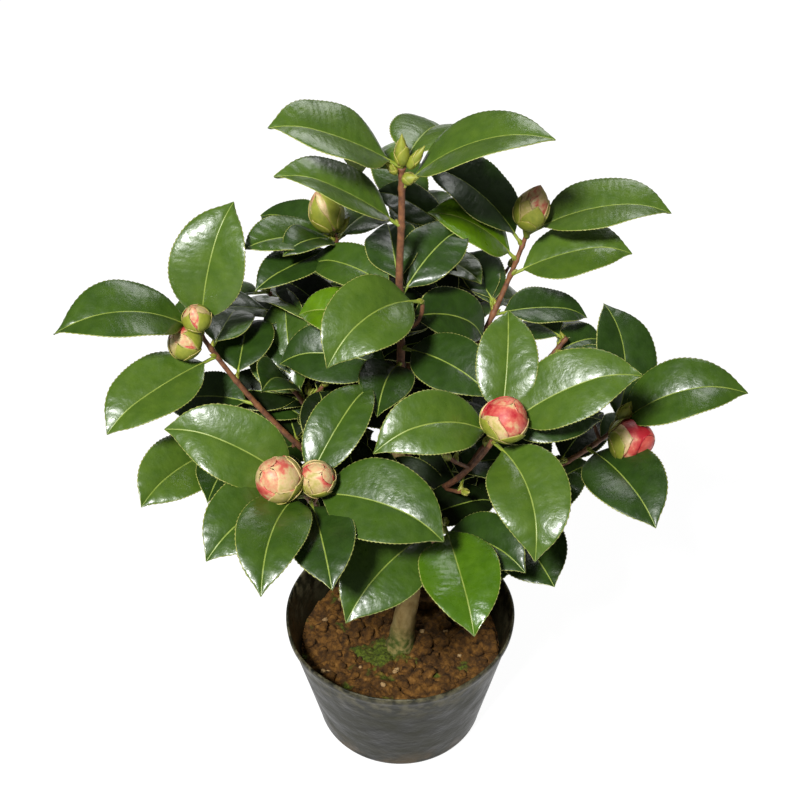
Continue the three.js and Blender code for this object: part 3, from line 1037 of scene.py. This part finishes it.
def flower_bud(bud):
    tip = np.array(SHOOTS[bud.shoot].tip, float)
    base, along = seat(bud)
    egg_like = placed(base, along, bud.radius, bud.length, (0.45, bud.taper), (14, 12))
    turn, blush = bud.turn, bud.blush
    inner = petal_tints(0.42 + 0.3 * blush, 0.8 + 0.2 * blush, blush, 7 * turn)
    outer = petal_tints(0.4 + 0.08 * blush, 0.6, 0.2 + 0.3 * blush, 3 * turn + 40)
    rows = (
        (2, turn, 105, 0.15, 1.0, -0.2, inner),
        (3, turn + 95, 50, 0.08, 0.6 + 0.3 * bud.sepals, 0.35, outer),
        (4, turn + 50, 47, 0.0, bud.sepals + 0.2, 0.8, sepal_tints),
        (3, turn + 5, 46, 0.0, bud.sepals * 0.6 + 0.06, 1.25, sepal_tints),
    )
    shape = Shape()
    sheet = cells(2 + sum(row[0] for row in rows))
    add_core(shape, egg_like, 0.5 + 0.4 * blush, next(sheet))
    add_rows(shape, egg_like, rows, sheet)
    stalk = bend(tip - UP * 2, tip + (base - tip) * 0.4 + UP, base + along * 1.5, samples=8).points
    add_tube(shape, stalk, np.linspace(2.0, 2.6, 8), 0, next(sheet), 8, tint=0.02)
    shape.piece(f"flower_bud_{bud.shoot}_{turn}", [BUD_SKIN])


for bud in FLOWER_BUDS:
    flower_bud(bud)


def seated_leaf_buds():
    """Each leaf bud, as its base, its direction, its radius and its length."""
    for bud in LEAF_BUDS:
        base, along = seat(bud)
        yield base, along, bud.radius, bud.length
    flowering = {bud.shoot for bud in FLOWER_BUDS}
    for name, line in boughs.items():
        if name not in flowering and name not in BUDLESS:
            yield line.points[-1], line.heading(line.length), *BUD_SIZES["bough"]
        for twig in twigs[name]:
            yield twig.points[-1], twig.heading(twig.length), *BUD_SIZES["twig"]
    for seated in leaves.values():
        for leaf in seated:
            yield leaf.base, unit(leaf.way + UP * 0.9), *BUD_SIZES["leaf"]


def make_leaf_buds():
    """Small pointed buds, each an egg wrapped in two or four scales."""
    leaf_buds = list(seated_leaf_buds())
    shape = Shape()
    sheet = cells(len(leaf_buds) * 5)
    for number, (base, along, radius, length) in enumerate(leaf_buds):
        grain = FINE_GRAIN if radius > BUD_SIZES["bough"][0] else COARSE_GRAIN
        pointed = placed(base, along, radius, length, (0.34, 1.15), grain)
        add_core(shape, pointed, 0.15, next(sheet))
        count = 4 if radius > BUD_SIZES["leaf"][0] else 2
        for i in range(count):
            high = 0.5 + 0.5 * i / (count - 1)
            turn, lift = 150 * i + 40 * number, 1.6 * (1 - i / count)
            add_scale(shape, pointed, turn, 88, 0.04 * i, high, lift, sepal_tints, next(sheet))
    shape.piece("leaf_buds", [BUD_SKIN])


make_leaf_buds()

# ---------------------------------------------------------------- bark


def bark_material():
    """Smooth tan-grey bark with darker blotches, green with algae at its foot."""
    finish = Finish("trunk_bark", Specular_IOR_Level=0.35)
    blotches = finish.noise(8, detail=6, roughness=0.6, stretch=(1, 1, 1.8))
    bark = finish.ramp(
        blotches, (0.3, (122, 96, 58)), (0.48, (174, 147, 93)), (0.68, (196, 172, 118))
    )
    algae = finish.spread(finish.noise(4, detail=4), 0.38, 0.58, 0.6, 1)
    damp = finish.times(finish.height(106, 80), algae)
    finish.color(finish.mix(damp, bark, (60, 72, 20)))
    finish.roughness(finish.spread(blotches, 0.3, 0.7, 0.9, 0.66))
    ridges, grain = finish.noise(2.4, detail=5, stretch=(1, 1, 2.5)), finish.noise(0.8, detail=3)
    finish.relief((ridges, 0.5), (grain, 0.12))
    return finish.material


BARK = bark_material()
TWIG_BARK = plain_material("twig_bark", (116, 74, 42), (76, 42, 24), 4, (0.5, 0.75), relief=0.08, grain=0.9)

TRUNK_RINGS, TRUNK_SIDES = 200, 40
BOUGH_RINGS, BOUGH_SPACING = 24, 1.2
TWIG_RINGS = 20


def trunk_radii():
    """The trunk's radius at each ring and side: its taper and flare, and the relief of its bark."""
    shares = np.linspace(0, 1, TRUNK_RINGS)
    along = shares * trunk_line.length
    radii = TRUNK["foot"] + (TRUNK["fork"] - TRUNK["foot"]) * shares**0.7
    radii = radii + TRUNK["flare"] * np.exp(-along / TRUNK["flare_length"])
    table = np.repeat(radii[:, None], TRUNK_SIDES, axis=1)
    for i, run in enumerate(along):
        for j in range(TRUNK_SIDES):
            turn = 2 * math.pi * j / TRUNK_SIDES
            x, y = math.cos(turn) * radii[i], math.sin(turn) * radii[i]
            swells, ridges, grain = bump(x, y, run, 12), bump(x, y, run * 0.4, 3), bump(x, y, run, 1.5)
            table[i, j] += 0.9 * swells + 0.3 * ridges + 0.15 * grain
    return table


def make_trunk():
    shape = Shape()
    centres = trunk_line.at(np.linspace(0, trunk_line.length, TRUNK_RINGS))
    add_tube(shape, centres, trunk_radii(), 0, WHOLE_SHEET, TRUNK_SIDES)
    shape.piece("trunk_relief", [BARK], ["trunk"])


def add_limb(shape, line, limb, rings, nodes, cell):
    """A bough or twig, a little thicker at each node, where a leaf sits."""
    run = np.linspace(0, line.length, rings)
    radii = limb["radius"] + (limb["tip"] - limb["radius"]) * run / line.length
    for node in nodes:
        radii = radii + 0.4 * np.exp(-(((run - node) / 1.6) ** 2))
    add_tube(shape, line.at(run), radii, 0, cell, limb["sides"])


def make_boughs():
    """The leader, the boughs, their side twigs and the spur, in one piece."""
    shape = Shape()
    stems = {name: [spur] if name == "top" else twigs[name] for name in boughs}
    sheet = cells(sum(1 + len(stems[name]) for name in boughs))
    for name, line in boughs.items():
        rings = max(BOUGH_RINGS, int(line.length / BOUGH_SPACING))
        nodes = [line.length - leaf.back for leaf in SHOOTS[name].leaves]
        add_limb(shape, line, LEADER if name == "top" else BOUGH, rings, nodes, next(sheet))
        for stem in stems[name]:
            nodes = [stem.length - SIDE["spacing"] * i for i in (1, 2)]
            add_limb(shape, stem, TWIG, TWIG_RINGS, nodes, next(sheet))
    limbs = ["leader"] + [f"bough_{name}" for name in boughs if name != "top"]
    shape.piece("bough_relief", [TWIG_BARK], limbs)


make_trunk()
make_boughs()

# ---------------------------------------------------------------- pot and soil


def pot_material():
    """Black nursery plastic: scuffed in bands, dusty under the rim, with earth dried on its foot."""
    finish = Finish("pot_plastic", Specular_IOR_Level=0.2)
    bands = finish.noise(20, detail=5, stretch=(1.2, 1.2, 0.8))
    plastic = finish.ramp(bands, (0.3, (12, 12, 6)), (0.7, (39, 39, 25)))
    specks = finish.spread(finish.noise(2.6, detail=5, roughness=0.7), 0.62, 0.76, 0, 0.6)
    scuffed = finish.mix(specks, plastic, (52, 52, 44))
    dust = finish.times(finish.height(70, 100), finish.spread(finish.noise(7, detail=5), 0.42, 0.62, 0, 0.55))
    dusty = finish.mix(dust, scuffed, (104, 98, 74))
    foot = finish.times(finish.height(26, 4), finish.spread(finish.noise(16, detail=4), 0.45, 0.6, 0, 0.6))
    finish.color(finish.mix(foot, dusty, (82, 66, 44)))
    finish.roughness(finish.spread(bands, 0.3, 0.7, 0.32, 0.58))
    finish.relief((finish.noise(18, detail=3, stretch=(1, 1, 0.8)), 1.5), (finish.noise(1.1, detail=3), 0.04))
    return finish.material


def soil_material():
    """Red-brown earth, and moss where the mesh says so."""
    finish = Finish("soil_earth", Specular_IOR_Level=0.25)
    clods = finish.noise(6, detail=6, roughness=0.65)
    earth = finish.ramp(
        clods,
        (0.3, (29, 18, 4)),
        (0.46, (62, 39, 9)),
        (0.6, (94, 62, 18)),
        (0.74, (124, 90, 42)),
    )
    moss = finish.ramp(finish.noise(1.6, detail=4), (0.35, (35, 46, 7)), (0.65, (76, 91, 17)))
    finish.color(finish.mix(finish.attribute("tint"), earth, moss))
    finish.roughness(finish.spread(clods, 0.3, 0.7, 0.98, 0.8))
    finish.relief((finish.noise(2.2, detail=5, roughness=0.6), 0.9), (finish.noise(0.6, detail=3), 0.25))
    return finish.material


POT_PLASTIC = pot_material()
EARTH = soil_material()
PEBBLE = plain_material("pebble", (120, 92, 56), (152, 124, 82), 3, (0.7, 0.9), relief=0.2, grain=1)


POT_SIDES = 220


def pot_radius(height):
    """The radius of the pot's outside at a height between its foot and its lip."""
    share = (height - POT["foot"]) / (POT["height"] - POT["lip_drop"] - POT["foot"])
    return POT["base"] + (POT["rim"] - POT["lip_flare"] - POT["base"]) * share


def pot_profile():
    """Points of (radius, height): out along the underside, up the outside, and down the inside."""
    base, foot, height, wall = POT["base"], POT["foot"], POT["height"], POT["wall"]
    profile = [(1, 0), (base - foot - 2, 0)]
    for i in range(9):
        angle = i / 8 * math.pi / 2
        profile.append((base - foot * (1 - math.sin(angle)), foot * (1 - math.cos(angle))))
    lip = height - POT["lip_drop"]
    profile += [(pot_radius(z), z) for z in np.linspace(foot + 3, lip - 0.5, 26)]
    rim = POT["rim"]
    profile += [(rim - 0.5, lip + 0.4), (rim, lip + 1.6)]
    profile += [(rim + 0.2, height - 1.4), (rim - 0.3, height - 0.2)]
    profile += [(rim - 1, height), (rim - wall, height - 0.5), (rim - wall - 0.4, height - 2)]
    profile += [(pot_radius(z) - wall, z) for z in np.linspace(lip, foot + 3, 20)]
    profile += [(base - foot, wall), (1, wall)]
    return profile


# The waves in the soft pot's rim: their size as a share of its radius, how many, and their turn.
RIM_WAVES = ((0.006, 2, 0.7), (0.0035, 5, 2), (0.002, 9, 0))


def pot_wobble(turn, height):
    """The soft pot's radius as a share of a true round one, least true at the rim."""
    rise = height / POT["height"]
    return 1 + rise**2 * sum(size * math.sin(count * turn + phase) for size, count, phase in RIM_WAVES)


def pot_ring(radius, height):
    turns = np.linspace(0, 2 * math.pi, POT_SIDES, endpoint=False)
    wobbles = [pot_wobble(turn, height) for turn in turns]
    return [(radius * math.cos(t) * w, radius * math.sin(t) * w, height) for t, w in zip(turns, wobbles)]


def make_pot():
    shape = Shape()
    shape.add_closed([pot_ring(radius, height) for radius, height in pot_profile()], 0, WHOLE_SHEET)
    shape.piece("pot_shell", [POT_PLASTIC], ["pot"])


# The soil's mesh, then its depth, how far in its underside is set, how far its innermost rings
# stand off the axis, and its radius within the pot's wall.
SOIL_RINGS, SOIL_SECTORS = 110, 320
SOIL = dict(depth=14, inset=1.5, middle=0.5, edge=pot_radius(SOIL_TOP) - POT["wall"] - 0.3)


def soil_height(x, y):
    """A rough, cloddy surface, a little heaped round the trunk."""
    mound = 3 * math.exp(-((math.hypot(x, y + 4) / 20) ** 2))
    clods = 4.6 * abs(bump(x, y, 5, 11)) + 2.8 * abs(bump(x, y, 7, 5)) + 0.9 * bump(x, y, 9, 2.2)
    return SOIL_TOP - 2.2 + mound + 3 * bump(x, y, 3, 28) + clods


def mossy(x, y):
    """How mossy the soil is: in patches, most of them near the trunk's foot."""
    near = math.exp(-((math.hypot(x + 16, y + 10) / 22) ** 2))
    return min(max((bump(x, y, 40, 12) + 1.1 * near + 0.3 * bump(x, y, 45, 3) - 0.5) * 4, 0), 0.9)


def soil_ring(radius, height=None):
    """A ring of points on the soil's surface, or at a height of its own."""
    turns = np.linspace(0, 2 * math.pi, SOIL_SECTORS, endpoint=False)
    spots = [(radius * math.cos(turn), radius * math.sin(turn)) for turn in turns]
    return [(x, y, soil_height(x, y) if height is None else height) for x, y in spots]


def make_soil():
    """The soil, from the middle of its underside out to its edge and in over its surface."""
    low, edge, middle = SOIL_TOP - SOIL["depth"], SOIL["edge"], SOIL["middle"]
    rings = [soil_ring(middle, low), soil_ring(edge - SOIL["inset"], low)]
    rings += [soil_ring(edge * (i / SOIL_RINGS) ** 0.8) for i in range(SOIL_RINGS, 0, -1)]
    rings.append(soil_ring(middle))
    tints = [[mossy(x, y) for x, y, _ in ring] for ring in rings]
    shape = Shape()
    shape.add_closed(rings, 0, WHOLE_SHEET, tints)
    shape.piece("soil_surface", [EARTH], ["soil"])


def scattered(count, inner, outer):
    """Random places on the soil, clear of the trunk."""
    for _ in range(count):
        radius = math.sqrt(rng.uniform(inner**2, outer**2))
        turn = rng.uniform(0, 2 * math.pi)
        yield radius * math.cos(turn), radius * math.sin(turn)


LUMP_RINGS, LUMP_SIDES = 8, 12


def add_lump(shape, centre, radius, slot, cell):
    """A clod or pebble: a squat ball with an uneven skin."""
    table = np.empty((LUMP_RINGS, LUMP_SIDES, 3))
    for i in range(LUMP_RINGS):
        angle = math.pi * (0.06 + 0.88 * i / (LUMP_RINGS - 1))
        level, rise = math.sin(angle), -0.7 * math.cos(angle)
        for j in range(LUMP_SIDES):
            turn = 2 * math.pi * j / LUMP_SIDES
            way = np.array((level * math.cos(turn), level * math.sin(turn), rise))
            spot = centre + way * radius
            swell = 1 + 0.6 * bump(*spot, radius) + 0.25 * bump(*spot, radius / 3)
            table[i, j] = centre + way * radius * swell
    shape.add_closed(table, slot, cell)


# Places tried for a lump, the share of them that are pebbles, and how far they keep from the pot's
# axis and from its wall.
LUMPS = dict(tries=190, pebbles=0.12, trunk=16, wall=4)


def make_clods():
    """Clods and a few pebbles on the soil, none of them where it is mossy."""
    shape = Shape()
    sheet = cells(LUMPS["tries"])
    for x, y in scattered(LUMPS["tries"], LUMPS["trunk"], SOIL["edge"] - LUMPS["wall"]):
        pebble = rng.random() < LUMPS["pebbles"]
        radius = rng.uniform(1.2, 2.4) if pebble else 1.2 + 5 * rng.random() ** 2
        centre = np.array((x, y, soil_height(x, y) + radius * 0.25))
        if mossy(x, y) < 0.3:
            add_lump(shape, centre, radius, int(pebble), next(sheet))
    shape.piece("soil_clods", [EARTH, PEBBLE])


make_pot()
make_soil()
make_clods()

# ---------------------------------------------------------------- stage, lights and camera


# The stage, in metres, with the lens and sensor in millimetres and the camera's tilt in degrees
# up from straight down.
FLOOR = dict(half=6, base=0.1, glow=0.95)
KEY = dict(place=(-0.5, -1.3, 1.9), aim=(0, 0, 0.3), size=0.3, power=90)
BACK = dict(place=(0.4, 1.2, 1.5), aim=(0, 0, 0.35), size=0.8, power=10)
SKY = 0.08
CAMERA = dict(lens=63.2, sensor=36, tilt=50)


def make_floor():
    """A white floor just under the pot. It glows, so shadows on it are faint."""
    mesh = bpy.data.meshes.new("floor")
    half = FLOOR["half"]
    corners = [(x * half, y * half, -MM) for x, y in ((-1, -1), (1, -1), (1, 1), (-1, 1))]
    mesh.from_pydata(corners, [], [(0, 1, 2, 3)])
    finish = Finish("floor_white", Roughness=0.9, Emission_Strength=1)
    finish.shader.inputs["Base Color"].default_value = (FLOOR["base"],) * 3 + (1,)
    finish.shader.inputs["Emission Color"].default_value = (FLOOR["glow"],) * 3 + (1,)
    mesh.materials.append(finish.material)
    floor = bpy.data.objects.new("floor", mesh)
    bpy.context.scene.collection.objects.link(floor)
    floor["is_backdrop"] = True


def add_light(name, place, aim, size, power):
    light = bpy.data.lights.new(name, "AREA")
    light.shape = "DISK"
    light.size = size
    light.energy = power
    lamp = bpy.data.objects.new(name, light)
    lamp.location = place
    lamp.rotation_mode = "QUATERNION"
    lamp.rotation_quaternion = (Vector(aim) - Vector(place)).to_track_quat("-Z", "Y")
    bpy.context.scene.collection.objects.link(lamp)


def make_world(strength):
    world = bpy.data.worlds.new("studio")
    world.use_nodes = True
    background = world.node_tree.nodes["Background"]
    background.inputs["Color"].default_value = (1, 1, 1, 1)
    background.inputs["Strength"].default_value = strength
    bpy.context.scene.world = world


def make_camera():
    """Looks along +Y from EYE, down on the plant."""
    camera = bpy.data.objects.new("camera", bpy.data.cameras.new("camera"))
    camera.data.lens = CAMERA["lens"]
    camera.data.sensor_width = CAMERA["sensor"]
    camera.location = EYE * MM
    camera.rotation_euler = (math.radians(CAMERA["tilt"]), 0, 0)
    bpy.context.scene.collection.objects.link(camera)
    bpy.context.scene.camera = camera


make_floor()
make_world(SKY)
add_light("key", **KEY)
add_light("back", **BACK)
make_camera()
bpy.context.scene.view_settings.view_transform = "Standard"

boxes = {"cad": cad_box, "visual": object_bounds()}
{name: [list(corner) for corner in box] for name, box in boxes.items()}
